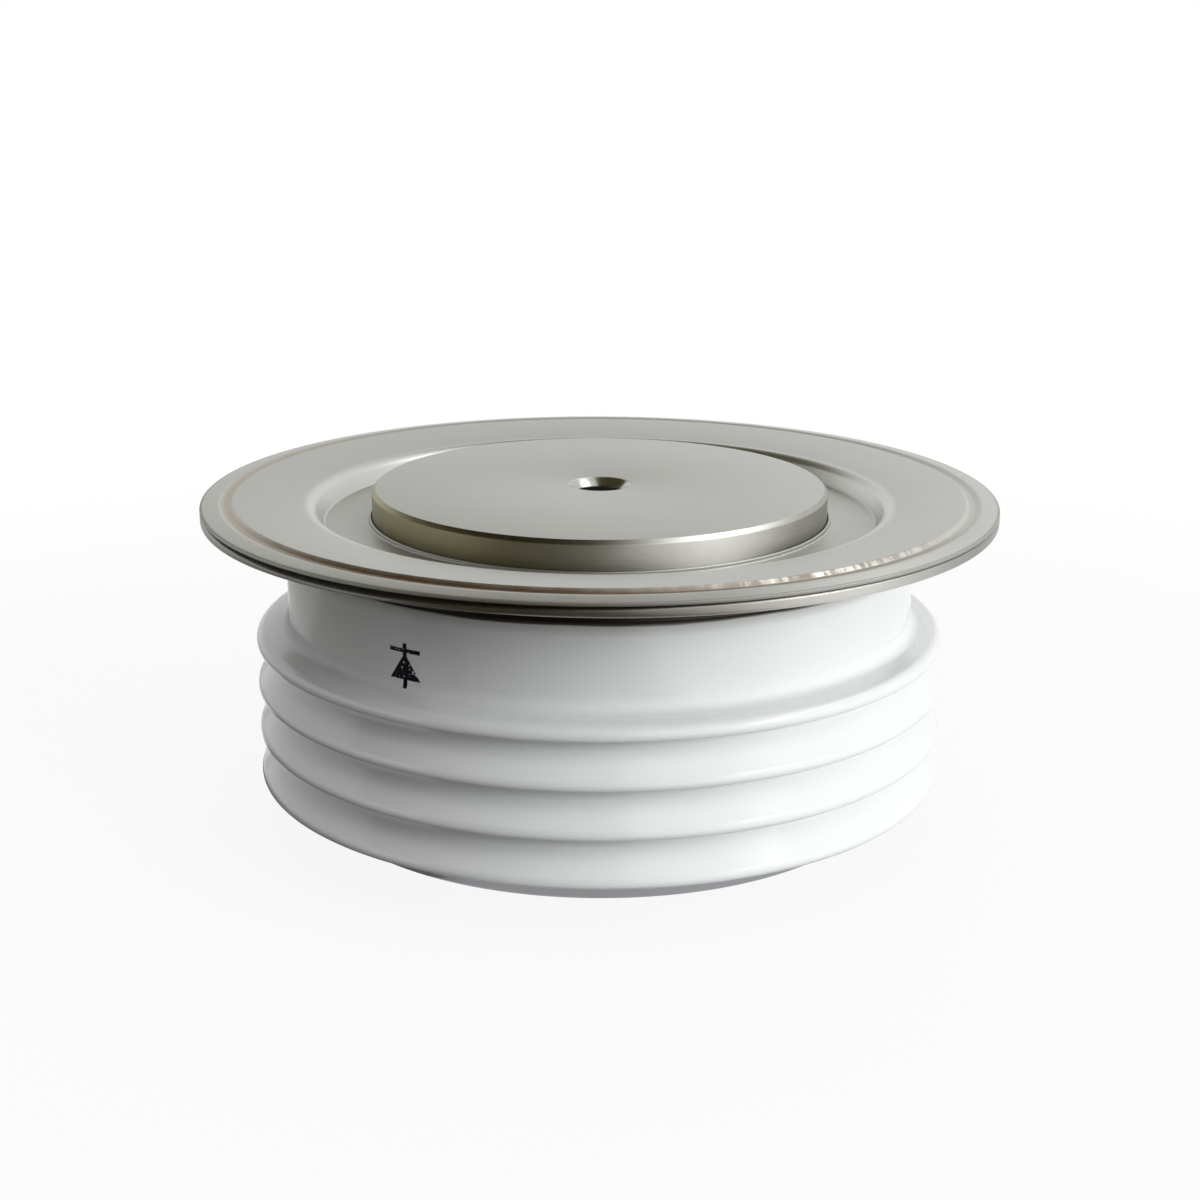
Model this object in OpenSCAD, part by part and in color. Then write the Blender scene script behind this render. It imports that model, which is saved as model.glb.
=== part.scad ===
// Disc rectifier diode in a ribbed ceramic capsule, for clamping between two heat sinks.
// Every piece is turned round the Z axis. The anode contact face lies at z = 0.

/* [Silicon stack] */
// Diameter of the silicon wafer at its anode side
wafer_d = 33.2; // [28:0.2:36]
// Thickness of the silicon wafer
wafer_t = 0.5; // [0.3:0.05:1]
// How far the bevelled rim of the wafer leans in towards the cathode
wafer_bevel = 0.4; // [0.2:0.05:0.6]
// Width of the rubber bead outside the wafer
bead_w = 0.4; // [0.3:0.05:1]
// Height of the rubber bead above the wafer
bead_h = 0.35; // [0.2:0.05:0.5]
// Thickness of the molybdenum disc under the wafer
anode_disc_t = 2; // [1:0.1:3]
// Thickness of the molybdenum disc over the wafer
cathode_disc_t = 0.6; // [0.5:0.05:1.5]
// Bare rim of the wafer round the cathode disc
cathode_margin = 1.6; // [1.2:0.1:3]

/* [Locating ring] */
// Least wall of the plastic ring that centres the stack
locator_wall = 1.9; // [1:0.1:3]
// Height of the ring above the wafer
locator_over = 1.2; // [0.6:0.1:3]
// Play of the ring round the stack and inside the ceramic
locator_play = 0.1; // [0.05:0.01:0.3]

/* [Poles] */
// Diameter of both contact faces
contact_d = 34; // [30:0.5:36]
// Bevel round each contact face
contact_bevel = 0.3; // [0.1:0.05:0.5]
// Diameter of both centring holes
hole_d = 3.5; // [2:0.1:5]
// Depth of both centring holes to the end of their wall
hole_depth = 2; // [1.2:0.1:3]
// Bevel at the mouth of each centring hole
hole_bevel = 0.6; // [0.1:0.05:0.8]
// Height of the cathode face above the welded rim
cathode_proud = 0.5; // [0.3:0.02:2]
// Width of the ledge on the cathode pole that carries the lid
cathode_ledge = 1.2; // [0.8:0.1:1.6]
// Thickness of the cathode pole below that ledge
cathode_shoulder_h = 2; // [1:0.1:3]
// Depth of the anode contact boss below the base of the anode pole
anode_proud = 1.5; // [0.5:0.02:2]
// Thickness of the base of the anode pole
anode_base_t = 1.9; // [1:0.1:3]
// How far the base of the anode pole stops inside the ceramic neck
anode_base_inset = 1.7; // [1.5:0.1:3]
// Bevel at the edge of that base
base_bevel = 0.15; // [0.05:0.05:0.4]
// Height of the anode pole inside the capsule up to the locating ring
anode_core_h = 6.6; // [4:0.1:8]
// Height of the round seat under the stack
anode_seat_h = 1.8; // [1:0.1:2.5]
// Least play of the poles inside the ceramic
core_play = 0.8; // [0.4:0.1:1.5]
// Bevel on the inner edges of the cathode pole
inner_bevel = 0.3; // [0.1:0.05:0.5]
// Slope of the drill point at the end of a centring hole
drill_angle = 31; // [25:1:45]

/* [Ceramic] */
// Height of the ceramic tube
ceramic_h = 17.65; // [17:0.05:24]
// Wall of the ceramic tube at its plain neck
neck_wall = 4.2; // [3.5:0.1:6]
// How far the ribs stand out from the neck
rib_out = 2.4; // [2:0.1:3]
// Number of ribs
rib_count = 4; // [2:1:4]
// Distance from rib to rib
rib_pitch = 3.42; // [3.3:0.02:3.7]
// Slope of the upper side of the lower ribs, measured from upright
rib_slope = 38; // [34:1:45]
// Slope of the ledge on the top rib, measured from level
ledge_slope = 8; // [0:1:15]
// Round of the lower edge of each rib
rib_lip_r = 0.3; // [0.2:0.05:0.4]
// Round of the nose of each rib
rib_nose_r = 0.8; // [0.5:0.05:1]
// Round of the groove under each rib
groove_r = 0.65; // [0.4:0.05:0.7]
// Round between the top rib and the neck
neck_corner_r = 0.5; // [0.2:0.05:0.8]
// Round of the top edge of the neck
neck_edge_r = 0.2; // [0.1:0.05:0.5]

/* [Flanges] */
// Diameter of the welded rim
rim_d = 59; // [56:0.5:66]
// Height of the rim above the ceramic
rim_rise = 3.3; // [3:0.05:5]
// Thickness of the two rim sheets
sheet_t = 0.4; // [0.3:0.05:0.6]
// Gap between the sheets at the edge of the rim
rim_gap = 0.2; // [0.1:0.01:0.4]
// Width of the lip outside the weld groove
lip_w = 1.35; // [1:0.05:2]
// Width of the weld groove
weld_w = 1.1; // [0.8:0.05:1.6]
// Depth of the weld groove below the lip
weld_depth = 0.15; // [0.05:0.01:0.25]
// Round of the upper edge of the lip
lip_r = 0.16; // [0.1:0.02:0.25]
// Rise of the lid at the weld groove above the lip
lid_crown = 0.1; // [0:0.01:0.2]
// Fall of the lid from the weld groove to the moat
lid_dish = 0.65; // [0.3:0.05:0.8]
// Slope width of the moat wall
moat_run = 0.75; // [0.4:0.05:1]
// Round at the top of the moat wall
moat_round = 0.9; // [0.5:0.05:1.2]
// Round in the corner of the moat floor
moat_corner_r = 0.25; // [0.1:0.05:0.4]
// Room under the moat floor above the foot of the weld flange
moat_room = 0.6; // [0.3:0.05:1]
// Distance of the moat floor from the collar of the weld flange
moat_inset = 2.3; // [2.2:0.05:4]
// Height of the small turned-up edge of the lid round the cathode pole
lid_edge_h = 0.3; // [0.1:0.05:0.6]
// Braze gap between the lid and the cathode pole
braze_gap = 0.05; // [0.02:0.01:0.1]
// How far the collar of the weld flange stops inside the neck
collar_inset = 0.15; // [0:0.05:0.6]
// Drop of the weld flange inside the weld
flange_drop = 0.11; // [0.05:0.01:0.3]
// How far the foot of the weld flange stops short of the ceramic bore
foot_inset = 0.5; // [0.2:0.1:1.5]
// Thickness of the base ring
base_ring_t = 0.55; // [0.4:0.05:1]
// How far the base ring stops inside the ribs
base_ring_inset = 1.6; // [1.2:0.1:2]

/* [Hidden] */
$fn = 96;

// Radii from the wafer outwards
wafer_r = wafer_d / 2;
stack_r = wafer_r + bead_w;
cathode_disc_r = wafer_r - cathode_margin;
bead_in_r = cathode_disc_r + cathode_margin / 4;
contact_r = contact_d / 2;
hole_r = hole_d / 2;
ledge_r = contact_r + cathode_ledge;
locator_in_r = stack_r + locator_play;
bore_r = max(locator_in_r + locator_wall + 2 * locator_play, ledge_r + core_play);
locator_out_r = bore_r - 2 * locator_play;
core_r = bore_r - core_play;
seat_r = min(stack_r, core_r - core_play);
neck_r = bore_r + neck_wall;
rib_r = neck_r + rib_out;
anode_base_r = neck_r - anode_base_inset;
base_ring_r = rib_r - base_ring_inset;
collar_r = neck_r - collar_inset;
collar_in_r = collar_r - sheet_t;
foot_in_r = bore_r + foot_inset;
rim_r = rim_d / 2;
weld_out_r = rim_r - lip_w;
weld_in_r = weld_out_r - weld_w;
moat_r = collar_in_r - moat_inset;
lid_in_r = contact_r + braze_gap;
ring_in_r = core_r + braze_gap;

// Levels from the anode face upwards
base_z = anode_proud;
ring_z = base_z + anode_base_t;
ceramic_z = ring_z + base_ring_t;
ceramic_top = ceramic_z + ceramic_h;
rim_z = ceramic_top + rim_rise;
top_z = rim_z + cathode_proud;
foot_top = ceramic_top + sheet_t;
lid_bottom = foot_top + moat_room;
moat_z = lid_bottom + sheet_t;
weld_z = rim_z - weld_depth - sheet_t;
lip_bottom = rim_z - sheet_t;
flange_lip_z = lip_bottom - rim_gap;
flange_z = flange_lip_z - flange_drop;
core_top = ring_z + anode_core_h;
seat_top = core_top + anode_seat_h;
wafer_z = seat_top + anode_disc_t;
wafer_top = wafer_z + wafer_t;
column_z = wafer_top + cathode_disc_t;
shoulder_z = lid_bottom - cathode_shoulder_h;

// Steps of each drawn arc
arc_steps = 8;

function unit(v) = v / norm(v);
function angle_of(v) = atan2(v.y, v.x);

// Points of an arc round c, from one angle to another
function arc(c, r, from, to) =
    [for (i = [0:arc_steps]) let (a = from + (to - from) * i / arc_steps) c + r * [cos(a), sin(a)]];

// Points of an arc that rounds the corner b between a and c
function corner(a, b, c, r) =
    let (u = unit(a - b), v = unit(c - b), half = acos(u * v) / 2)
    let (centre = b + unit(u + v) * r / sin(half))
    let (from = angle_of(b + u * r / tan(half) - centre))
    let (to = angle_of(b + v * r / tan(half) - centre))
    arc(centre, r, from, from + (to - from + 540) % 360 - 180);

// Normal of the path at point i, long enough to keep the sheet one thickness
function miter(path, i) =
    let (before = i > 0 ? unit(path[i] - path[i - 1]) : unit(path[1] - path[0]))
    let (after = i < len(path) - 1 ? unit(path[i + 1] - path[i]) : before)
    let (n = [-before.y, before.x], m = unit(n + [-after.y, after.x]))
    m / (m * n);

// The same path, moved to its left by t
function beside(path, t) = [for (i = [0:len(path) - 1]) path[i] + t * miter(path, i)];

function reversed(path) = [for (i = [len(path) - 1:-1:0]) path[i]];

// The same path with each inner corner rounded by its own radius
function rounded(path, radii) =
    [for (i = [1:len(path) - 2]) each corner(path[i - 1], path[i], path[i + 1], radii[i - 1])];

// Height of the corner above the lower edge of a rib whose upper side turns by the angle turn
function nose_h(turn) = rib_lip_r + rib_nose_r * tan(turn / 2);

// Corners of the lower rib that starts at height z, and the root of the groove above it
function rib(z) =
    let (nose = nose_h(rib_slope))
    [[rib_r, z], [rib_r, z + nose], [rib_r - (rib_pitch - nose) * tan(rib_slope), z + rib_pitch]];

// Corners of the top rib that starts at height z, and the foot of the neck
function top_rib(z) =
    let (nose = nose_h(90 - ledge_slope))
    [[rib_r, z], [rib_r, z + nose], [neck_r, z + nose + rib_out * tan(ledge_slope)]];

// Outline of the ceramic from its bottom face to its top face
function ceramic_side() =
    let (lower = rib_count - 1)
    rounded(
        concat([[bore_r, ceramic_z]], [for (i = [0:lower - 1]) each rib(ceramic_z + i * rib_pitch)],
            top_rib(ceramic_z + lower * rib_pitch), [[neck_r, ceramic_top], [bore_r, ceramic_top]]),
        concat([for (i = [0:lower - 1]) each [rib_lip_r, rib_nose_r, groove_r]],
            [rib_lip_r, rib_nose_r, neck_corner_r, neck_edge_r]));

// Upper face of the lid from the moat floor to the weld groove
function lid_path() =
    let (a = [lid_in_r, moat_z], b = [moat_r, moat_z])
    let (c = [moat_r + moat_run, rim_z + lid_crown - lid_dish], d = [weld_in_r, rim_z + lid_crown])
    concat([a], corner(a, b, c, moat_corner_r), corner(b, c, d, moat_round), [d]);

// Inner face of the weld flange from the weld to its foot
function flange_path() =
    let (a = [weld_in_r, flange_z], b = [collar_in_r, flange_z])
    let (c = [collar_in_r, foot_top], d = [foot_in_r, foot_top])
    concat([a], corner(a, b, c, 1.8 * sheet_t), corner(b, c, d, sheet_t / 3), [d]);

// Half outline of a centring hole in a face at z, cut towards dir
function hole_side(z, dir) = [
    [hole_r + hole_bevel, z],
    [hole_r, z + dir * hole_bevel],
    [hole_r, z + dir * hole_depth],
    [0, z + dir * (hole_depth + hole_r * tan(drill_angle))]
];

// Copper pole with the cathode contact face, nickel plated
module cathode_pole() {
    color("silver")
    rotate_extrude()
    polygon(concat([
        [0, column_z],
        [cathode_disc_r - inner_bevel, column_z],
        [cathode_disc_r, column_z + inner_bevel],
        [cathode_disc_r, shoulder_z],
        [ledge_r - inner_bevel, shoulder_z],
        [ledge_r, shoulder_z + inner_bevel],
        [ledge_r, lid_bottom],
        [contact_r, lid_bottom],
        [contact_r, top_z - contact_bevel],
        [contact_r - contact_bevel, top_z]
    ], hole_side(top_z, -1)));
}

// Pressed sheet lid, brazed to the cathode pole and welded at the rim
module lid_diaphragm() {
    top = lid_path();
    color("gainsboro")
    rotate_extrude()
    polygon(concat([
        [lid_in_r, lid_bottom],
        [lid_in_r, moat_z + lid_edge_h],
        [lid_in_r + sheet_t / 2, moat_z + lid_edge_h],
        [lid_in_r + sheet_t / 2, moat_z]
    ], [for (i = [1:len(top) - 1]) top[i]], [
        [weld_in_r + weld_depth, rim_z - weld_depth],
        [weld_in_r + weld_w / 2, rim_z - weld_depth],
        [weld_out_r, rim_z]
    ], corner([weld_out_r, rim_z], [rim_r, rim_z], [rim_r, lip_bottom], lip_r), [
        [rim_r, lip_bottom],
        [weld_out_r, weld_z],
        [weld_in_r, weld_z]
    ], reversed([for (i = [1:len(top) - 1]) beside(top, -sheet_t)[i]])));
}

// Pressed sheet flange, brazed on the ceramic and welded at the rim
module weld_flange() {
    inner = flange_path();
    color("darkgray")
    rotate_extrude()
    polygon(concat([
        [weld_in_r, weld_z],
        [weld_out_r, weld_z],
        [rim_r, flange_lip_z],
        [rim_r, flange_lip_z - sheet_t],
        [weld_out_r, flange_lip_z - sheet_t],
        [weld_out_r - weld_depth, weld_z - sheet_t],
        [weld_in_r + weld_depth, weld_z - sheet_t]
    ], beside(inner, sheet_t), reversed(inner)));
}

// Glazed alumina tube with ribs that lengthen the path along its surface
module ceramic_insulator() {
    color("white")
    rotate_extrude()
    polygon(concat(ceramic_side(), [
        [bore_r, ceramic_top],
        [bore_r, ceramic_z]
    ]));
}

// Flat ring brazed between the ceramic and the anode pole
module base_ring() {
    color("darkgray")
    translate([0, 0, ring_z])
    difference() {
        cylinder(r = base_ring_r, h = base_ring_t);
        translate([0, 0, -1])
        cylinder(r = ring_in_r, h = base_ring_t + 2);
    }
}

// Copper pole with the anode contact face, nickel plated
module anode_pole() {
    color("silver")
    rotate_extrude()
    polygon(concat(reversed(hole_side(0, 1)), [
        [contact_r - contact_bevel, 0],
        [contact_r, contact_bevel],
        [contact_r, base_z],
        [anode_base_r - base_bevel, base_z],
        [anode_base_r, base_z + base_bevel],
        [anode_base_r, ring_z],
        [core_r, ring_z],
        [core_r, core_top],
        [seat_r, core_top],
        [seat_r, seat_top],
        [0, seat_top]
    ]));
}

// Silicon wafer with its bevelled rim
module silicon_wafer() {
    color("dimgray")
    translate([0, 0, wafer_z])
    cylinder(r1 = wafer_r, r2 = wafer_r - wafer_bevel, h = wafer_t);
}

// Silicone rubber bead that seals the rim of the wafer
module edge_bead() {
    color("lightyellow")
    rotate_extrude()
    polygon([
        [wafer_r, wafer_z],
        [stack_r, wafer_z],
        [stack_r, wafer_top + bead_h / 2],
        [stack_r - bead_h / 2, wafer_top + bead_h],
        [bead_in_r, wafer_top + bead_h],
        [bead_in_r, wafer_top],
        [wafer_r - wafer_bevel, wafer_top]
    ]);
}

// Molybdenum disc that the wafer is alloyed to
module anode_molybdenum() {
    color("slategray")
    translate([0, 0, seat_top])
    cylinder(r = stack_r, h = anode_disc_t);
}

// Molybdenum disc between the wafer and the cathode pole
module cathode_molybdenum() {
    color("lightslategray")
    translate([0, 0, wafer_top])
    cylinder(r = cathode_disc_r, h = cathode_disc_t);
}

// Plastic ring that centres the stack inside the ceramic
module locating_ring() {
    color("ivory")
    translate([0, 0, core_top])
    difference() {
        cylinder(r = locator_out_r, h = wafer_top + locator_over - core_top);
        translate([0, 0, -1])
        cylinder(r = locator_in_r, h = wafer_top + locator_over - core_top + 2);
    }
}

cathode_pole();
lid_diaphragm();
weld_flange();
ceramic_insulator();
base_ring();
anode_pole();
silicon_wafer();
edge_bead();
anode_molybdenum();
cathode_molybdenum();
locating_ring();
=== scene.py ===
import math

import bpy
from mathutils import Euler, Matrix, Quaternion, Vector


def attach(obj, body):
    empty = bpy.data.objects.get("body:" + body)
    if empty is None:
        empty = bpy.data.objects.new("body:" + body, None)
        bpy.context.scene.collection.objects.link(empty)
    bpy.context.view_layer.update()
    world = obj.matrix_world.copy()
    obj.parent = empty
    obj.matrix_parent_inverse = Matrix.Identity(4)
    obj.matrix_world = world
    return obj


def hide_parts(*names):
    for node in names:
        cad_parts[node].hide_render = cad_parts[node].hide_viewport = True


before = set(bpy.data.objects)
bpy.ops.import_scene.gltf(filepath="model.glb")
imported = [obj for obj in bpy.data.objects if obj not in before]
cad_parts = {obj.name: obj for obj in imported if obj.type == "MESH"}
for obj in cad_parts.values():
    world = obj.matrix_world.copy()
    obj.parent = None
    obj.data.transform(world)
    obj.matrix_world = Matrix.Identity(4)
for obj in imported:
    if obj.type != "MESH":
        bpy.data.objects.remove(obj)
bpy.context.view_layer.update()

MM = 0.001
SPIN_STEPS = 288
SMOOTH_ANGLE = math.radians(32)
SAME_POINT = 1e-6
MERGE_AT = 1e-7

# Sizes of the part in millimetres, as in its source
RIM_R = 29.5
RIM_Z = 24.9
TOP_Z = 25.4
CONTACT_R = 17.0
CONTACT_BEVEL = 0.3
HOLE_R = 1.75
HOLE_BEVEL = 0.6
HOLE_DEPTH = 2.0
HOLE_POINT = HOLE_R * math.tan(math.radians(31))
SHEET_T = 0.4
LID_IN_R = 17.05
LID_BOTTOM = 22.6
MOAT_Z = LID_BOTTOM + SHEET_T
MOAT_R = 20.55
MOAT_TOP_R = 21.3
LID_EDGE_H = 0.3
LID_CROWN = 0.1
LID_DISH = 0.65
LID_UNDER_Z = 24.597
LID_BEND_R = 21.55
LID_BEND_Z = 23.976
MOAT_UNDER_R = 20.785
WELD_IN_R = 27.05
WELD_OUT_R = 28.15
WELD_DEPTH = 0.15
WELD_SLOPE = 0.27
WELD_FLAT = 0.7
WELD_Z = RIM_Z - WELD_DEPTH - SHEET_T
LIP_BOTTOM = RIM_Z - SHEET_T
FLANGE_LIP_Z = 24.46
FLANGE_Z = 24.19
COLLAR_R = 23.25
COLLAR_IN_R = COLLAR_R - SHEET_T
FOOT_IN_R = 19.7
BORE_R = 19.2
NECK_R = 23.4
RIB_R = 25.8
RIB_COUNT = 4
RIB_PITCH = 3.42
RIB_LIP_R = 0.3
RIB_NOSE_R = 0.8
RIB_SLOPE = math.radians(38)
LEDGE_SLOPE = math.radians(8)
GROOVE_R = 0.65
NECK_EDGE_R = 0.2
CERAMIC_Z = 3.95
CERAMIC_TOP = 21.6
RING_Z = 3.4
RING_R = 24.2
RING_IN_R = 18.45
BASE_Z = 1.5
BASE_R = 21.7
BASE_BEVEL = 0.15
CORE_R = 18.4
CORE_TOP = 10.0
SEAT_R = 17.0
SEAT_TOP = 11.8
LEDGE_R = 18.2
SHOULDER_Z = 20.6
COLUMN_R = 15.0
COLUMN_Z = 14.9
INNER_BEVEL = 0.3

# The polarity sign on the neck
SIGN_AT = math.radians(-33.6)
SIGN_Z = 17.35
SIGN_H = 1.9
SIGN_LINE = 0.3

# Unevenness of this one piece: the glaze in the neck corner and the lips of the rim
NECK_CORNER_R = 0.8
NECK_FOOT_Z = 15.54
LIP_FALL = 0.17
LIP_START = 0.1
LIP_DROP = 0.36
LIP_EDGE = 0.88
LIP_RISE = 0.2
LIP_OPEN_AT = math.radians(-30)
LIP_OPEN_SPAN = math.radians(55)


# Modelling

def begin_profile(name, point):
    """A new mesh in edit mode with one vertex, at point = (radius, height)."""
    bpy.ops.object.select_all(action="DESELECT")
    bpy.ops.mesh.primitive_plane_add(size=MM)
    piece = bpy.context.active_object
    piece.name = piece.data.name = name
    bpy.ops.object.mode_set(mode="EDIT")
    bpy.ops.mesh.select_all(action="SELECT")
    bpy.ops.mesh.merge(type="CENTER")
    bpy.ops.transform.translate(value=(point[0] * MM, 0, point[1] * MM))
    return piece


def select_profile_point(piece, point):
    """Selects the one vertex of the drawn profile that lies at point."""
    bpy.ops.mesh.select_all(action="DESELECT")
    bpy.ops.object.mode_set(mode="OBJECT")
    for v in piece.data.vertices:
        v.select = math.hypot(v.co.x - point[0] * MM, v.co.z - point[1] * MM) < SAME_POINT
    bpy.ops.object.mode_set(mode="EDIT")


def turn(name, points, closed=True):
    """Extrudes a profile corner by corner, rounds it and spins it.

    A corner is (radius, height), or (radius, height, round, segments) where it is rounded.
    """
    piece = begin_profile(name, points[0])
    last = points[0]
    for p in points[1:] + ([points[0]] if closed else []):
        step = ((p[0] - last[0]) * MM, 0, (p[1] - last[1]) * MM)
        bpy.ops.mesh.extrude_vertices_move(TRANSFORM_OT_translate={"value": step})
        last = p
    bpy.ops.mesh.select_all(action="SELECT")
    bpy.ops.mesh.remove_doubles(threshold=MERGE_AT)
    count = len(points)
    for i, p in enumerate(points):
        if len(p) < 4:
            continue
        before, after = points[i - 1], points[(i + 1) % count]
        a = math.atan2(before[1] - p[1], before[0] - p[0])
        b = math.atan2(after[1] - p[1], after[0] - p[0])
        half = abs((a - b + math.pi) % (2 * math.pi) - math.pi) / 2
        select_profile_point(piece, p)
        reach = p[2] / math.tan(half) * MM
        bpy.ops.mesh.bevel(offset=reach, segments=p[3], profile=0.5, affect="VERTICES")
    bpy.ops.mesh.select_all(action="SELECT")
    bpy.ops.mesh.spin(steps=SPIN_STEPS, angle=2 * math.pi, center=(0, 0, 0), axis=(0, 0, 1))
    bpy.ops.mesh.select_all(action="SELECT")
    bpy.ops.mesh.remove_doubles(threshold=MERGE_AT)
    bpy.ops.mesh.normals_make_consistent(inside=False)
    bpy.ops.object.mode_set(mode="OBJECT")
    bpy.ops.object.shade_smooth_by_angle(angle=SMOOTH_ANGLE)
    return piece


def hole_profile(z, direction):
    """Corners of a centring hole in a face at z, from its mouth to the drill point."""
    return [
        (HOLE_R + HOLE_BEVEL, z, 0.05, 2),
        (HOLE_R, z + direction * HOLE_BEVEL, 0.05, 2),
        (HOLE_R, z + direction * HOLE_DEPTH),
        (0, z + direction * (HOLE_DEPTH + HOLE_POINT)),
    ]


def make_cathode_pole():
    return turn("cathode_pole_turned", [
        (0, COLUMN_Z),
        (COLUMN_R - INNER_BEVEL, COLUMN_Z),
        (COLUMN_R, COLUMN_Z + INNER_BEVEL),
        (COLUMN_R, SHOULDER_Z),
        (LEDGE_R - INNER_BEVEL, SHOULDER_Z),
        (LEDGE_R, SHOULDER_Z + INNER_BEVEL),
        (LEDGE_R, LID_BOTTOM),
        (CONTACT_R, LID_BOTTOM),
        (CONTACT_R, TOP_Z - CONTACT_BEVEL, 0.12, 3),
        (CONTACT_R - CONTACT_BEVEL, TOP_Z, 0.08, 3),
    ] + hole_profile(TOP_Z, -1), closed=False)


def make_lid():
    return turn("lid_diaphragm_pressed", [
        (LID_IN_R, LID_BOTTOM),
        (LID_IN_R, MOAT_Z + LID_EDGE_H, 0.09, 4),
        (LID_IN_R + SHEET_T / 2, MOAT_Z + LID_EDGE_H, 0.09, 4),
        (LID_IN_R + SHEET_T / 2, MOAT_Z, 0.1, 4),
        (MOAT_R, MOAT_Z, 0.25, 6),
        (MOAT_TOP_R, RIM_Z + LID_CROWN - LID_DISH, 0.9, 12),
        (WELD_IN_R, RIM_Z + LID_CROWN, 0.05, 3),
        (WELD_IN_R + WELD_SLOPE, RIM_Z - WELD_DEPTH, 0.1, 3),
        (WELD_IN_R + WELD_FLAT, RIM_Z - WELD_DEPTH, 0.3, 4),
        (WELD_OUT_R, RIM_Z, 0.3, 5),
        (RIM_R, RIM_Z - LIP_FALL, 0.12, 6),
        (RIM_R, LIP_BOTTOM, 0.06, 4),
        (WELD_OUT_R, WELD_Z),
        (WELD_IN_R, WELD_Z),
        (WELD_IN_R, LID_UNDER_Z),
        (LID_BEND_R, LID_BEND_Z, 0.4, 4),
        (MOAT_UNDER_R, LID_BOTTOM, 0.3, 4),
    ])


def pull_lip(piece, name, amount, on_top):
    """Moves the top or the bottom of the lower sheet's edge by amount, most at LIP_OPEN_AT."""
    group = piece.vertex_groups.new(name=name)
    for v in piece.data.vertices:
        out = (math.hypot(v.co.x, v.co.y) / MM - WELD_OUT_R) / (RIM_R - WELD_OUT_R)
        turned = (math.atan2(v.co.x, -v.co.y) - LIP_OPEN_AT) / LIP_OPEN_SPAN
        high = min(max((v.co.z / MM - FLANGE_LIP_Z) / LIP_EDGE + 1, 0.0), 1.0)
        if out > LIP_START and abs(turned) < 1:
            share = high if on_top else 1 - high
            fade = math.cos(turned * math.pi / 2) ** 2
            group.add([v.index], share * min(out, 1.0) * fade, "REPLACE")
    pull = piece.modifiers.new(name, "DISPLACE")
    pull.direction = "Z"
    pull.mid_level = 0
    pull.strength = amount * MM
    pull.vertex_group = name


def make_weld_flange():
    piece = turn("weld_flange_pressed", [
        (WELD_IN_R, WELD_Z),
        (WELD_OUT_R, WELD_Z),
        (RIM_R, FLANGE_LIP_Z, 0.2, 6),
        (RIM_R, FLANGE_LIP_Z - LIP_EDGE, 0.25, 6),
        (WELD_OUT_R, FLANGE_LIP_Z - SHEET_T, 0.1, 3),
        (WELD_OUT_R - WELD_DEPTH, WELD_Z - SHEET_T, 0.1, 3),
        (WELD_IN_R + WELD_DEPTH, WELD_Z - SHEET_T, 0.1, 3),
        (WELD_IN_R, FLANGE_Z - SHEET_T, 0.1, 3),
        (COLLAR_R, FLANGE_Z - SHEET_T, 0.32, 6),
        (COLLAR_R, CERAMIC_TOP),
        (FOOT_IN_R, CERAMIC_TOP),
        (FOOT_IN_R, CERAMIC_TOP + SHEET_T),
        (COLLAR_IN_R, CERAMIC_TOP + SHEET_T, 0.13, 4),
        (COLLAR_IN_R, FLANGE_Z, 0.72, 6),
        (WELD_IN_R, FLANGE_Z),
    ])
    pull_lip(piece, "droop", -LIP_DROP, on_top=True)
    pull_lip(piece, "rise", LIP_RISE, on_top=False)
    for name in ("droop", "rise"):
        bpy.ops.object.modifier_apply(modifier=name)
    return piece


def make_ceramic():
    corners = [(BORE_R, CERAMIC_Z)]
    for i in range(RIB_COUNT):
        z = CERAMIC_Z + i * RIB_PITCH
        last = i == RIB_COUNT - 1
        turned = math.pi / 2 - LEDGE_SLOPE if last else RIB_SLOPE
        nose = z + RIB_LIP_R + RIB_NOSE_R * math.tan(turned / 2)
        corners += [(RIB_R, z, RIB_LIP_R, 6), (RIB_R, nose, RIB_NOSE_R, 12)]
        if last:
            ledge = nose + (RIB_R - NECK_R) * math.tan(LEDGE_SLOPE)
            corners.append((NECK_R, ledge, NECK_CORNER_R, 8))
        else:
            root = RIB_R - (z + RIB_PITCH - nose) * math.tan(RIB_SLOPE)
            corners.append((root, z + RIB_PITCH, GROOVE_R, 14))
    corners += [(NECK_R, CERAMIC_TOP, NECK_EDGE_R, 5), (BORE_R, CERAMIC_TOP)]
    return turn("ceramic_insulator_glazed", corners)


def make_base_ring():
    return turn("base_ring_flat", [
        (RING_IN_R, RING_Z),
        (RING_R, RING_Z, 0.1, 3),
        (RING_R, CERAMIC_Z, 0.1, 3),
        (RING_IN_R, CERAMIC_Z),
    ])


def make_anode_pole():
    return turn("anode_pole_turned", list(reversed(hole_profile(0, 1))) + [
        (CONTACT_R - CONTACT_BEVEL, 0, 0.08, 3),
        (CONTACT_R, CONTACT_BEVEL, 0.12, 3),
        (CONTACT_R, BASE_Z, 0.15, 4),
        (BASE_R - BASE_BEVEL, BASE_Z, 0.05, 2),
        (BASE_R, BASE_Z + BASE_BEVEL, 0.05, 2),
        (BASE_R, RING_Z),
        (CORE_R, RING_Z),
        (CORE_R, CORE_TOP),
        (SEAT_R, CORE_TOP),
        (SEAT_R, SEAT_TOP),
        (0, SEAT_TOP),
    ], closed=False)


# Shader maths

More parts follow.
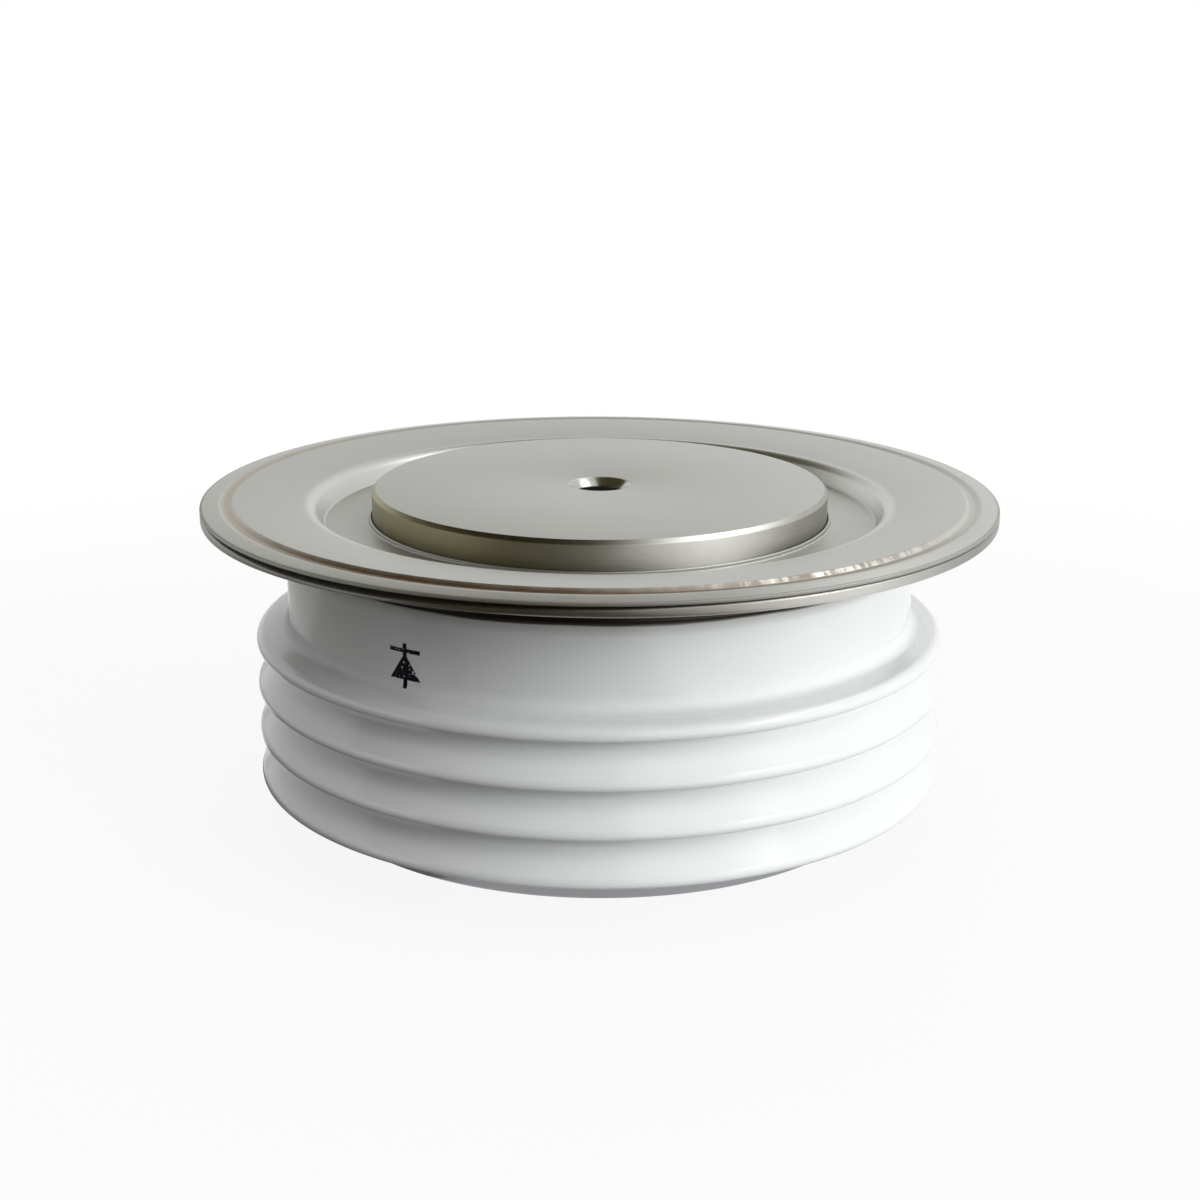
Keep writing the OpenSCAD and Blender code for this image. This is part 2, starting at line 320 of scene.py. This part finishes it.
class Wire:
    """A shader socket that takes Python's operators."""

    def __init__(self, finish, socket):
        self.finish = finish
        self.socket = socket

    def math(self, operation, *others):
        values = {0: self}
        values.update({i + 1: v for i, v in enumerate(others)})
        return self.finish.node("ShaderNodeMath", {"operation": operation}, values)

    def reflected(self, operation, other):
        return self.finish.node("ShaderNodeMath", {"operation": operation}, {0: other, 1: self})

    def __add__(self, other):
        return self.math("ADD", other)

    def __radd__(self, other):
        return self.reflected("ADD", other)

    def __sub__(self, other):
        return self.math("SUBTRACT", other)

    def __rsub__(self, other):
        return self.reflected("SUBTRACT", other)

    def __mul__(self, other):
        return self.math("MULTIPLY", other)

    def __rmul__(self, other):
        return self.reflected("MULTIPLY", other)


class Finish:
    """A node material, with the helpers that its pattern needs."""

    def __init__(self, owner):
        owner.use_nodes = True
        self.owner = owner
        self.tree = owner.node_tree
        self.tree.nodes.clear()
        self.place = self.node("ShaderNodeTexCoord", {}, {}, "Object")

    def node(self, kind, settings, sockets, out=0):
        """Any node: its type, its settings, and the values or links of its sockets."""
        made = self.tree.nodes.new(kind)
        for key, value in settings.items():
            setattr(made, key, value)
        for key, value in sockets.items():
            if isinstance(value, Wire):
                self.tree.links.new(value.socket, made.inputs[key])
            else:
                made.inputs[key].default_value = value
        return Wire(self, made.outputs[out])

    def split(self, vector):
        """The x, y and z of a vector."""
        made = self.node("ShaderNodeSeparateXYZ", {}, {0: vector}).socket.node
        return [Wire(self, s) for s in made.outputs]

    def radius(self):
        """Distance from the axis of the part, in millimetres."""
        x, y, _ = self.split(self.place)
        return (x * x + y * y).math("SQRT") * (1 / MM)

    def height(self):
        """Height above the anode face, in millimetres."""
        return self.split(self.place)[2] * (1 / MM)

    def around(self, radius):
        """Distance round the axis from the front, in metres along a circle of radius millimetres."""
        x, y, _ = self.split(self.place)
        return x.math("ARCTAN2", y * -1) * (radius * MM)

    def angle(self):
        """Angle round the axis in radians, 0 at the front and growing to the right."""
        return self.around(1.0) * (1 / MM)

    def vector(self, x=0.0, z=0.0):
        """A place to read noise at, made of single values."""
        return self.node("ShaderNodeCombineXYZ", {}, {0: x, 2: z})

    def drawn(self, radius):
        """Noise stretched round the axis, as a tool leaves it on a turned or pressed edge."""
        streaks = self.vector(self.around(radius) * 0.12, self.height() * (5 * MM))
        return self.noise(0.5, 3.0, 0.65, streaks)

    def noise(self, size, detail=2.0, rough=0.5, vector=None):
        """Noise from 0 to 1 with features of about size millimetres."""
        return self.node("ShaderNodeTexNoise", {}, {
            "Vector": vector or self.place,
            "Scale": 1 / (size * MM),
            "Detail": detail,
            "Roughness": rough,
        })

    def step(self, value, low, high):
        """0 below low, 1 above high, smooth between."""
        smooth = {"interpolation_type": "SMOOTHSTEP"}
        return self.node("ShaderNodeMapRange", smooth, {0: value, 1: low, 2: high})

    def band(self, value, low, high, soft):
        """1 between low and high, with soft ends."""
        rise = self.step(value, low - soft, low + soft)
        return rise * (1 - self.step(value, high - soft, high + soft))

    def mix(self, factor, a, b):
        """Colour a turning to b by factor."""
        return self.node("ShaderNodeMix", {"data_type": "RGBA"}, {0: factor, 6: a, 7: b}, 2)

    def bump(self, height, distance, strength):
        """A Bump node: height from 0 to 1 over distance millimetres."""
        sockets = {"Height": height, "Distance": distance * MM, "Strength": strength}
        return self.node("ShaderNodeBump", {}, sockets)

    def shade(self, **sockets):
        """The Principled shader as the material's surface."""
        named = {key.replace("_", " "): value for key, value in sockets.items()}
        return self.end(self.node("ShaderNodeBsdfPrincipled", {}, named))

    def end(self, shader, kind="ShaderNodeOutputMaterial"):
        """Links a shader to the output and gives back the material or world."""
        self.tree.links.new(shader.socket, self.tree.nodes.new(kind).inputs[0])
        return self.owner


def rgb(r, g, b):
    return (r, g, b, 1.0)


# Arcs of painted shade and painted highlight, and of tint and stains, in radians round the axis, from
# the front to the right
WALL_SHADE_ARC = (-1.9, -0.2)
WALL_END_SHADE_ARC = (0.85, 1.8)
WALL_HIGHLIGHT_ARC = (0.2, 0.72)
BEVEL_SHADE_ARC = (-0.95, 0.15)
BURNT_ARC = (-0.85, 0.2)
SCORCHED_ARC = (-2.6, 0.6)
SMOKED_ARC = (0.2, 1.0)
STRUCK_ARC = (0.25, 0.95)
LIP_SHADE_ARC = (-0.5, 0.3)
LIP_HIGHLIGHT_ARC = (0.45, 0.85)
RIM_SHADE_ARC = (-2.2, -0.5)
RIM_END_SHADE_ARC = (0.95, 2.4)
RIM_HIGHLIGHT_ARC = (0.4, 0.8)

# Rings of the lid's finish and of painted shade, as inner and outer radius in millimetres
MOAT_SHADE = (20.3, 21.4)
MOAT_WALL = (20.6, 21.9)
WELD_CREST = (26.95, 27.32)
STAIN_IN_R = 27.15
STAIN_OUT_R = 27.95
SMOKE = (27.45, 28.1)

# Plain nickel on the contact faces and the lid
NICKEL = rgb(0.58, 0.582, 0.553)
NICKEL_PALE = rgb(0.615, 0.617, 0.588)
NICKEL_GRAIN = rgb(0.45, 0.45, 0.425)


# Finishes

def contact_nickel():
    f = Finish(bpy.data.materials.new("contact_nickel"))
    r = f.radius()
    painted_hole_shade = 1 - f.step(r, HOLE_R - 0.02, HOLE_R + 0.05)
    mouth = 1 - f.step(r, HOLE_R + HOLE_BEVEL - 0.08, HOLE_R + HOLE_BEVEL)
    cloud = f.noise(6.0, 3.0)
    grain = f.noise(0.09, 2.0, 0.7)
    rings = f.noise(0.11, 2.0, 0.6, f.vector(r * MM))
    colour = f.mix(cloud, NICKEL, NICKEL_PALE)
    colour = f.mix(grain * 0.3, colour, NICKEL_GRAIN)
    colour = f.mix(mouth * 0.5, colour, rgb(0.36, 0.36, 0.33))
    # Painted shade: the inside of the centring hole darkened almost to black
    colour = f.mix(painted_hole_shade, colour, rgb(0.07, 0.065, 0.05))
    return f.shade(
        Base_Color=colour,
        Metallic=1.0,
        Roughness=(0.46 + grain * 0.08) * (1 - mouth * 0.55),
        Normal=f.bump(rings + grain * 0.6, 0.006, 0.5),
    )


def turned_nickel():
    f = Finish(bpy.data.materials.new("turned_nickel"))
    z = f.height()
    grain = f.noise(0.09, 2.0, 0.7)
    lathe = f.drawn(CONTACT_R)
    mottle = f.noise(1.3, 4.0, 0.6)
    colour = f.mix(mottle, rgb(0.54, 0.53, 0.495), rgb(0.64, 0.635, 0.60))
    angle = f.angle()
    upper = f.step(z, SHOULDER_Z - 1, SHOULDER_Z)
    # Painted shade and reflection: the wall darkened to olive over the left and front
    painted_wall_shade = f.band(angle, *WALL_SHADE_ARC, 0.35) * upper
    colour = f.mix(painted_wall_shade * 0.75, colour, rgb(0.27, 0.24, 0.08))
    # Painted shade: the wall darkened on its right side
    painted_wall_end_shade = f.band(angle, *WALL_END_SHADE_ARC, 0.3) * upper
    colour = f.mix(painted_wall_end_shade * (0.3 + mottle * 0.5), colour, rgb(0.26, 0.255, 0.225))
    colour = f.mix(f.step(lathe, 0.45, 0.75) * 0.5, colour, rgb(0.32, 0.303, 0.25))
    # Painted highlight: the wall lightened at the front right
    painted_wall_highlight = f.band(angle, *WALL_HIGHLIGHT_ARC, 0.25) * upper
    colour = f.mix(painted_wall_highlight * (0.75 + mottle * 0.25), colour, rgb(0.9, 0.895, 0.86))
    low = 1 - f.step(z, CERAMIC_Z, CERAMIC_Z + 1)
    colour = f.mix(low * 0.8, colour, rgb(0.50, 0.505, 0.53))
    bevel_z = TOP_Z - CONTACT_BEVEL
    # Painted shade: the top bevel darkened over the front and left
    painted_bevel_shade = f.step(z, bevel_z - 0.06, bevel_z + 0.04) * f.band(angle, *BEVEL_SHADE_ARC, 0.3)
    colour = f.mix(painted_bevel_shade * (0.5 + mottle * 0.5), colour, rgb(0.09, 0.075, 0.045))
    # Painted shade: the foot of the wall darkened above the moat, less under the painted highlight
    painted_foot_shade = f.step(z, SHOULDER_Z, LID_BOTTOM) * (1 - f.step(z, MOAT_Z, MOAT_Z + 1.4))
    colour = f.mix(painted_foot_shade * (0.6 - painted_wall_highlight * 0.45), colour, rgb(0.08, 0.07, 0.038))
    return f.shade(
        Base_Color=colour,
        Metallic=1.0,
        Roughness=0.43 + grain * 0.08,
        Anisotropic=0.55,
        Anisotropic_Rotation=0.25,
        Normal=f.bump(lathe + grain * 0.6, 0.005, 0.5),
    )


def lid_nickel():
    f = Finish(bpy.data.materials.new("lid_nickel"))
    r = f.radius()
    cloud = f.noise(5.0, 3.0)
    grain = f.noise(0.09, 2.0, 0.7)
    wander = f.noise(2.2, 3.0, 0.6)
    blotch = f.noise(0.7, 4.0, 0.65)
    patch = f.noise(9.0, 2.0)
    plain = f.mix(cloud, NICKEL, NICKEL_PALE)
    plain = f.mix(grain * 0.3, plain, NICKEL_GRAIN)
    # Painted shade: the moat darkened
    moat = 1 - f.step(r, *MOAT_SHADE)
    plain = f.mix(moat * 0.3, plain, rgb(0.43, 0.427, 0.40))
    edge = r + (wander - 0.5) * 0.3
    angle = f.angle()
    burnt = f.band(angle, *BURNT_ARC, 0.35)
    scorched = f.band(angle, *SCORCHED_ARC, 0.35)
    groove = f.band(edge, STAIN_IN_R, STAIN_OUT_R - burnt * 0.15, 0.16)
    tan = f.mix(patch, rgb(0.51, 0.46, 0.37), rgb(0.50, 0.40, 0.31))
    stain = f.mix(blotch, rgb(0.12, 0.046, 0.013), rgb(0.31, 0.17, 0.07))
    colour = f.mix(groove * (0.15 + scorched * (0.3 + blotch * 0.5)), plain, tan)
    colour = f.mix(groove * burnt * (0.4 + blotch * 0.7), colour, stain)
    crest = f.band(r, *WELD_CREST, 0.1)
    dash = f.noise(1.3, 3.0, 0.6, f.vector(f.around(WELD_IN_R)))
    struck = crest * f.band(angle, *STRUCK_ARC, 0.3)
    # Painted shade: the gaps between the glints on the weld crest darkened, and made rougher
    painted_dash_gaps = struck * (1 - f.step(dash + (blotch - 0.5) * 0.3, 0.42, 0.6))
    # The lid darker and rougher towards its outer edge
    dark_outer_edge = f.step(r, RIM_R - 0.25, RIM_R - 0.1)
    smoked = f.band(angle, *SMOKED_ARC, 0.3) * f.band(edge, *SMOKE, 0.2)
    colour = f.mix(smoked * (0.25 + blotch * 0.5), colour, rgb(0.2, 0.165, 0.12))
    # Painted shade: the lip outside the weld darkened at the front
    painted_lip_shade = f.step(r, WELD_OUT_R - 0.1, WELD_OUT_R + 0.4) * f.band(angle, *LIP_SHADE_ARC, 0.4)
    colour = f.mix(painted_lip_shade * (0.25 + wander * 0.3), colour, rgb(0.27, 0.255, 0.215))
    # Painted highlight: the lip outside the weld lightened at the front right
    painted_edge_highlight = f.step(r, WELD_OUT_R, WELD_OUT_R + 0.4) * f.band(angle, *LIP_HIGHLIGHT_ARC, 0.25)
    colour = f.mix(painted_edge_highlight * 0.45, colour, rgb(0.86, 0.855, 0.82))
    colour = f.mix(painted_dash_gaps * 0.6, colour, rgb(0.27, 0.225, 0.18))
    colour = f.mix(dark_outer_edge * 0.5, colour, rgb(0.28, 0.275, 0.255))
    wall = f.band(r, *MOAT_WALL, 0.3)
    smooth = 0.42 + grain * 0.1 - wall * 0.13 - struck * 0.16
    relief = grain * 0.6 + blotch * groove * 3.0 + blotch * struck * 6.0
    return f.shade(
        Base_Color=colour,
        Metallic=1.0,
        Roughness=smooth + painted_dash_gaps * 0.3 + dark_outer_edge * 0.15,
        Normal=f.bump(relief, 0.008, 0.5),
    )


def rim_nickel():
    f = Finish(bpy.data.materials.new("rim_nickel"))
    r = f.radius()
    cloud = f.noise(3.0, 3.0)
    grain = f.noise(0.1, 2.0, 0.7)
    drawn = f.drawn(RIM_R)
    colour = f.mix(cloud, rgb(0.33, 0.322, 0.29), rgb(0.43, 0.42, 0.39))
    colour = f.mix(f.step(drawn, 0.45, 0.75) * 0.5, colour, rgb(0.2, 0.19, 0.16))
    angle = f.angle()
    # Painted shade: the rim darkened over the left, and on its right side
    colour = f.mix(f.band(angle, *RIM_SHADE_ARC, 0.4) * 0.5, colour, rgb(0.13, 0.125, 0.115))
    colour = f.mix(f.band(angle, *RIM_END_SHADE_ARC, 0.4) * 0.5, colour, rgb(0.2, 0.2, 0.2))
    # Painted highlight: the rim lightened at the front right
    painted_edge_highlight = f.band(angle, *RIM_HIGHLIGHT_ARC, 0.25)
    colour = f.mix(painted_edge_highlight * 0.65, colour, rgb(0.84, 0.83, 0.79))
    low = 1 - f.step(f.height(), CERAMIC_Z, CERAMIC_Z + 1)
    colour = f.mix(low * 0.8, colour, rgb(0.42, 0.425, 0.44))
    # Painted shade: the collar under the rim darkened almost to black
    inner = 1 - f.step(r, COLLAR_R + 0.5, WELD_IN_R)
    above = f.step(f.height(), CERAMIC_TOP - 1, CERAMIC_TOP)
    colour = f.mix(inner * above * 0.9, colour, rgb(0.03, 0.024, 0.015))
    return f.shade(
        Base_Color=colour,
        Metallic=1.0,
        Roughness=0.34 + grain * 0.12,
        Anisotropic=0.6,
        Anisotropic_Rotation=0.25,
        Normal=f.bump(drawn + grain * 0.5, 0.006, 0.5),
    )


def polarity_ink(f):
    """1 where the diode sign is printed on the neck: an arrow up to a bar, with a lead at each end."""
    along = (f.around(NECK_R) - SIGN_AT * NECK_R * MM) * (1 / MM)
    up = f.height() - SIGN_Z
    side = along.math("ABSOLUTE")
    soft = 0.04
    half = SIGN_H / 2
    flank = side - (half - up) * 0.68
    arrow = f.band(up, -half, half, soft) * (1 - f.step(flank, -soft, soft))
    reach = SIGN_H * 0.66
    bar = f.band(up, half, half + SIGN_LINE, soft) * (1 - f.step(side, reach, reach + soft))
    width = SIGN_LINE / 2
    lead = f.band(up, -SIGN_H * 0.8, SIGN_H * 0.85, soft) * (1 - f.step(side, width, width + soft))
    near = 1 - f.step(side, SIGN_H, SIGN_H + soft)
    return arrow.math("MAXIMUM", bar).math("MAXIMUM", lead) * near


def glazed_alumina():
    f = Finish(bpy.data.materials.new("white_glaze"))
    cloud = f.noise(7.0, 2.0)
    peel = f.noise(1.1, 2.0, 0.5)
    cells = f.node("ShaderNodeTexVoronoi", {}, {"Vector": f.place, "Scale": 1 / (3.2 * MM)})
    pits = f.step(cells, 0.0, 0.045)
    white = f.mix(cloud, rgb(0.80, 0.815, 0.805), rgb(0.84, 0.85, 0.84))
    colour = f.mix(pits, rgb(0.55, 0.55, 0.52), white)
    ink = polarity_ink(f) * f.step(f.noise(0.25, 2.0, 0.6), 0.25, 0.4)
    colour = f.mix(ink, colour, rgb(0.012, 0.012, 0.018))
    corner = f.band(f.height(), NECK_FOOT_Z, NECK_FOOT_Z + NECK_CORNER_R, 0.3)
    z = f.height() + (cloud - 0.5) * 0.3
    # Painted shadow: the top of the neck darkened under the rim
    painted_rim_shadow = f.step(z, CERAMIC_TOP - 1.1, CERAMIC_TOP - 0.1)
    colour = f.mix(painted_rim_shadow * 0.4, colour, rgb(0.2, 0.19, 0.16))
    # A black band at the top of the neck: the metallised edge, and painted shadow under the rim
    metallised_band_and_shadow = f.step(z, CERAMIC_TOP - 0.28, CERAMIC_TOP - 0.12)
    colour = f.mix(metallised_band_and_shadow, colour, rgb(0.05, 0.043, 0.034))
    return f.shade(
        Base_Color=colour,
        Metallic=ink,
        Roughness=0.2 + peel * 0.05 + ink * 0.3 + corner * 0.3,
        IOR=1.5,
        Coat_Weight=0.5 - ink * 0.5 - corner * 0.45,
        Coat_Roughness=0.09,
        Normal=f.bump(peel, 0.012, 0.35),
    )


def polished_silicon():
    f = Finish(bpy.data.materials.new("polished_silicon"))
    cloud = f.noise(8.0, 2.0)
    haze = f.noise(0.4, 3.0)
    colour = f.mix(cloud, rgb(0.17, 0.175, 0.19), rgb(0.22, 0.22, 0.25))
    return f.shade(
        Base_Color=colour,
        Metallic=1.0,
        Roughness=0.12 + haze * 0.1,
        Normal=f.bump(haze, 0.002, 0.3),
    )


def ground_molybdenum():
    f = Finish(bpy.data.materials.new("ground_molybdenum"))
    rings = f.noise(0.08, 2.0, 0.6, f.vector(f.radius() * MM))
    cloud = f.noise(4.0, 3.0)
    colour = f.mix(cloud, rgb(0.27, 0.27, 0.285), rgb(0.36, 0.36, 0.375))
    return f.shade(
        Base_Color=colour,
        Metallic=1.0,
        Roughness=0.34 + rings * 0.12,
        Normal=f.bump(rings, 0.005, 0.5),
    )


def cured_silicone():
    f = Finish(bpy.data.materials.new("cured_silicone"))
    cloud = f.noise(2.0, 3.0)
    skin = f.noise(0.3, 2.0)
    colour = f.mix(cloud, rgb(0.62, 0.56, 0.40), rgb(0.72, 0.67, 0.52))
    return f.shade(Base_Color=colour, Roughness=0.38 + skin * 0.12, Normal=f.bump(skin, 0.01, 0.4))


def turned_plastic():
    f = Finish(bpy.data.materials.new("turned_plastic"))
    lathe = f.noise(0.12, 2.0, 0.6, f.vector(f.radius() * MM, f.height() * MM))
    cloud = f.noise(5.0, 2.0)
    colour = f.mix(cloud, rgb(0.76, 0.76, 0.73), rgb(0.82, 0.82, 0.79))
    return f.shade(Base_Color=colour, Roughness=0.42 + lathe * 0.1, Normal=f.bump(lathe, 0.006, 0.5))


# Assembly

def lay_finishes(piece, finishes):
    """Gives a piece its finish, or a pole its two: the contact face's, and the one outside it."""
    for finish in finishes:
        piece.data.materials.append(finish)
    if len(finishes) > 1:
        for face in piece.data.polygons:
            from_axis = math.hypot(face.center.x, face.center.y) / MM
            face.material_index = 1 if from_axis > CONTACT_R - CONTACT_BEVEL else 0


POLE = [contact_nickel(), turned_nickel()]
RIM = [rim_nickel()]

PIECES = [
    (make_cathode_pole, "cathode_pole", "nickel_plate", POLE),
    (make_lid, "lid_diaphragm", "rim_sheet", [lid_nickel()]),
    (make_weld_flange, "weld_flange", "rim_sheet", RIM),
    (make_ceramic, "ceramic_insulator", "glazed_alumina", [glazed_alumina()]),
    (make_base_ring, "base_ring", "rim_sheet", RIM),
    (make_anode_pole, "anode_pole", "nickel_plate", POLE),
]
for make, node, slot, finishes in PIECES:
    piece = make()
    lay_finishes(piece, finishes)
    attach(piece, "root")
    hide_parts(node)

MOLYBDENUM = ground_molybdenum()
INNER = {
    "silicon_wafer": polished_silicon(),
    "edge_bead": cured_silicone(),
    "anode_molybdenum": MOLYBDENUM,
    "cathode_molybdenum": MOLYBDENUM,
    "locating_ring": turned_plastic(),
}
for node, finish in INNER.items():
    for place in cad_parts[node].material_slots:
        place.material = finish


# Stage, light and camera

MIDDLE = Vector((0, 0, 13 * MM))
LAMP_AWAY = 0.5
FLOOR_HALF = 0.6
FLOOR_GLOW = 0.9
FLOOR_FADE = (60.0, 130.0)
AMBIENT = 0.285
CARD_Z = 0.5 * MM


def shown_ray(f):
    """1 for camera, glossy and transmission rays."""
    path = f.node("ShaderNodeLightPath", {}, {}).socket.node
    kinds = ("Is Camera Ray", "Is Glossy Ray", "Is Transmission Ray")
    seen, glossy, through = [Wire(f, path.outputs[kind]) for kind in kinds]
    return (seen + glossy + through).math("MINIMUM", 1.0)


def toward(azimuth, elevation):
    """A lamp's place from the middle of the part, in degrees to the right of the front and up."""
    a, e = math.radians(azimuth), math.radians(elevation)
    way = Vector((math.sin(a) * math.cos(e), -math.cos(a) * math.cos(e), math.sin(e)))
    return way * LAMP_AWAY + MIDDLE


def soft_box(name, place, size, power, seen=True, lights=True, tint=(1, 1, 1)):
    """An area lamp facing the part.

    seen shows it in the metal and the glaze, and lights lets it light matt surfaces.
    """
    bpy.ops.object.light_add(type="AREA", location=place)
    lamp = bpy.context.active_object
    lamp.name = name
    lamp.data.shape = "RECTANGLE"
    lamp.data.size, lamp.data.size_y = size
    lamp.data.energy = power
    lamp.data.color = tint
    lamp.rotation_euler = (place - MIDDLE).to_track_quat("Z", "Y").to_euler()
    lamp.visible_glossy = seen
    lamp.visible_diffuse = lights


def sheet(name, corner, opposite, finish):
    """A flat rectangle between two corners, lying or upright."""
    bpy.ops.object.select_all(action="DESELECT")
    bpy.ops.mesh.primitive_plane_add(size=1)
    made = bpy.context.active_object
    made.name = name
    span = Vector(opposite) - Vector(corner)
    bpy.ops.object.mode_set(mode="EDIT")
    bpy.ops.mesh.select_all(action="SELECT")
    if span.z:
        bpy.ops.transform.rotate(value=math.pi / 2, orient_axis="X", center_override=(0, 0, 0))
    bpy.ops.transform.resize(value=[abs(v) or 1.0 for v in span], center_override=(0, 0, 0))
    bpy.ops.transform.translate(value=Vector(corner) + span / 2)
    bpy.ops.object.mode_set(mode="OBJECT")
    made.data.materials.append(finish)
    return made


def card(name, corner, opposite, tone):
    """A panel out of the picture that only shows in the metal and the glaze."""
    f = Finish(bpy.data.materials.new(name))
    made = sheet(name, corner, opposite, f.end(f.node("ShaderNodeEmission", {}, {"Color": rgb(*tone)})))
    made.visible_camera = False
    made.visible_diffuse = False
    made.visible_shadow = False
    made.visible_transmission = False


def low_card(name, corner, opposite, tone):
    """A card just above the floor."""
    card(name, (*corner, CARD_Z), (*opposite, CARD_Z), tone)


def pale_floor():
    """A floor that shows white, keeps some of the part's shadow and throws little light up."""
    f = Finish(bpy.data.materials.new("pale_floor"))
    far = f.step(f.radius(), *FLOOR_FADE)
    shown = shown_ray(f)
    tone = f.mix(shown, rgb(0.13, 0.13, 0.13), rgb(0.8, 0.8, 0.8))
    diffuse = f.node("ShaderNodeBsdfDiffuse", {}, {"Color": tone})
    white = f.node("ShaderNodeEmission", {}, {"Color": rgb(1, 1, 1)})
    glow = shown * (FLOOR_GLOW + far * (1 - FLOOR_GLOW))
    return f.end(f.node("ShaderNodeMixShader", {}, {0: glow, 1: diffuse, 2: white}))


def studio_world():
    """A world that shows white and lights the part softly from all round."""
    f = Finish(bpy.data.worlds.new("studio"))
    strength = AMBIENT + shown_ray(f) * (1 - AMBIENT)
    sky = f.node("ShaderNodeBackground", {}, {"Color": rgb(1, 1, 1), "Strength": strength})
    return f.end(sky, "ShaderNodeOutputWorld")


sheet("floor", (-FLOOR_HALF, -FLOOR_HALF, 0), (FLOOR_HALF, FLOOR_HALF, 0), pale_floor())
bpy.context.scene.world = studio_world()

soft_box("window", toward(62, 14), (0.42, 0.25), 2.27, seen=False, tint=(0.97, 0.995, 1))
soft_box("strip", toward(58, 32), (0.13, 0.08), 0.22, lights=False)
soft_box("high_window", toward(95, 52), (0.28, 0.2), 0.38, lights=False)
soft_box("top", toward(10, 75), (0.4, 0.4), 0.5, seen=False)
soft_box("fill", toward(25, 45), (0.35, 0.3), 0.31, seen=False)
soft_box("back", toward(185, 50), (0.45, 0.3), 0.6, seen=False)

card("card_front", (-0.6, -0.4, 0), (0.08, -0.4, 0.35), (0.085, 0.07, 0.028))
card("card_over", (-0.6, -0.6, 0.35), (0.05, 0.42, 0.35), (0.075, 0.064, 0.03))
low_card("card_low", (-0.5, -0.4), (0.033, -0.06), (0.04, 0.034, 0.022))
low_card("card_low_near", (-0.045, -0.06), (0.033, -0.039), (0.06, 0.052, 0.036))
low_card("card_low_left", (-0.5, -0.06), (-0.045, 0.028), (0.36, 0.35, 0.33))
low_card("card_low_back", (-0.5, 0.028), (-0.045, 0.1), (0.6, 0.6, 0.58))
low_card("card_base", (-0.045, -0.039), (-0.012, 0.01), (0.12, 0.12, 0.125))
low_card("card_base_front", (-0.012, -0.039), (0.02, 0.01), (0.62, 0.62, 0.64))

# The camera fitted to the photograph
CAMERA = Vector((0.05, -147.8, RIM_Z + 34.62)) * MM
PITCH = 0.28435
ROLL = 0.0041
FOCUS_PX = 2022.5
PHOTO_PX = 1200
SENSOR_MM = 36
bpy.ops.object.camera_add(location=CAMERA)
camera = bpy.context.active_object
camera.name = "camera"
camera.rotation_mode = "QUATERNION"
tilt = Euler((math.pi / 2 - PITCH, 0, 0)).to_quaternion()
camera.rotation_quaternion = tilt @ Quaternion((0, 0, 1), ROLL)
camera.data.sensor_width = SENSOR_MM
camera.data.lens = FOCUS_PX * SENSOR_MM / PHOTO_PX
camera.data.clip_start = 0.005
bpy.context.scene.camera = camera
bpy.context.scene.view_settings.view_transform = "Standard"
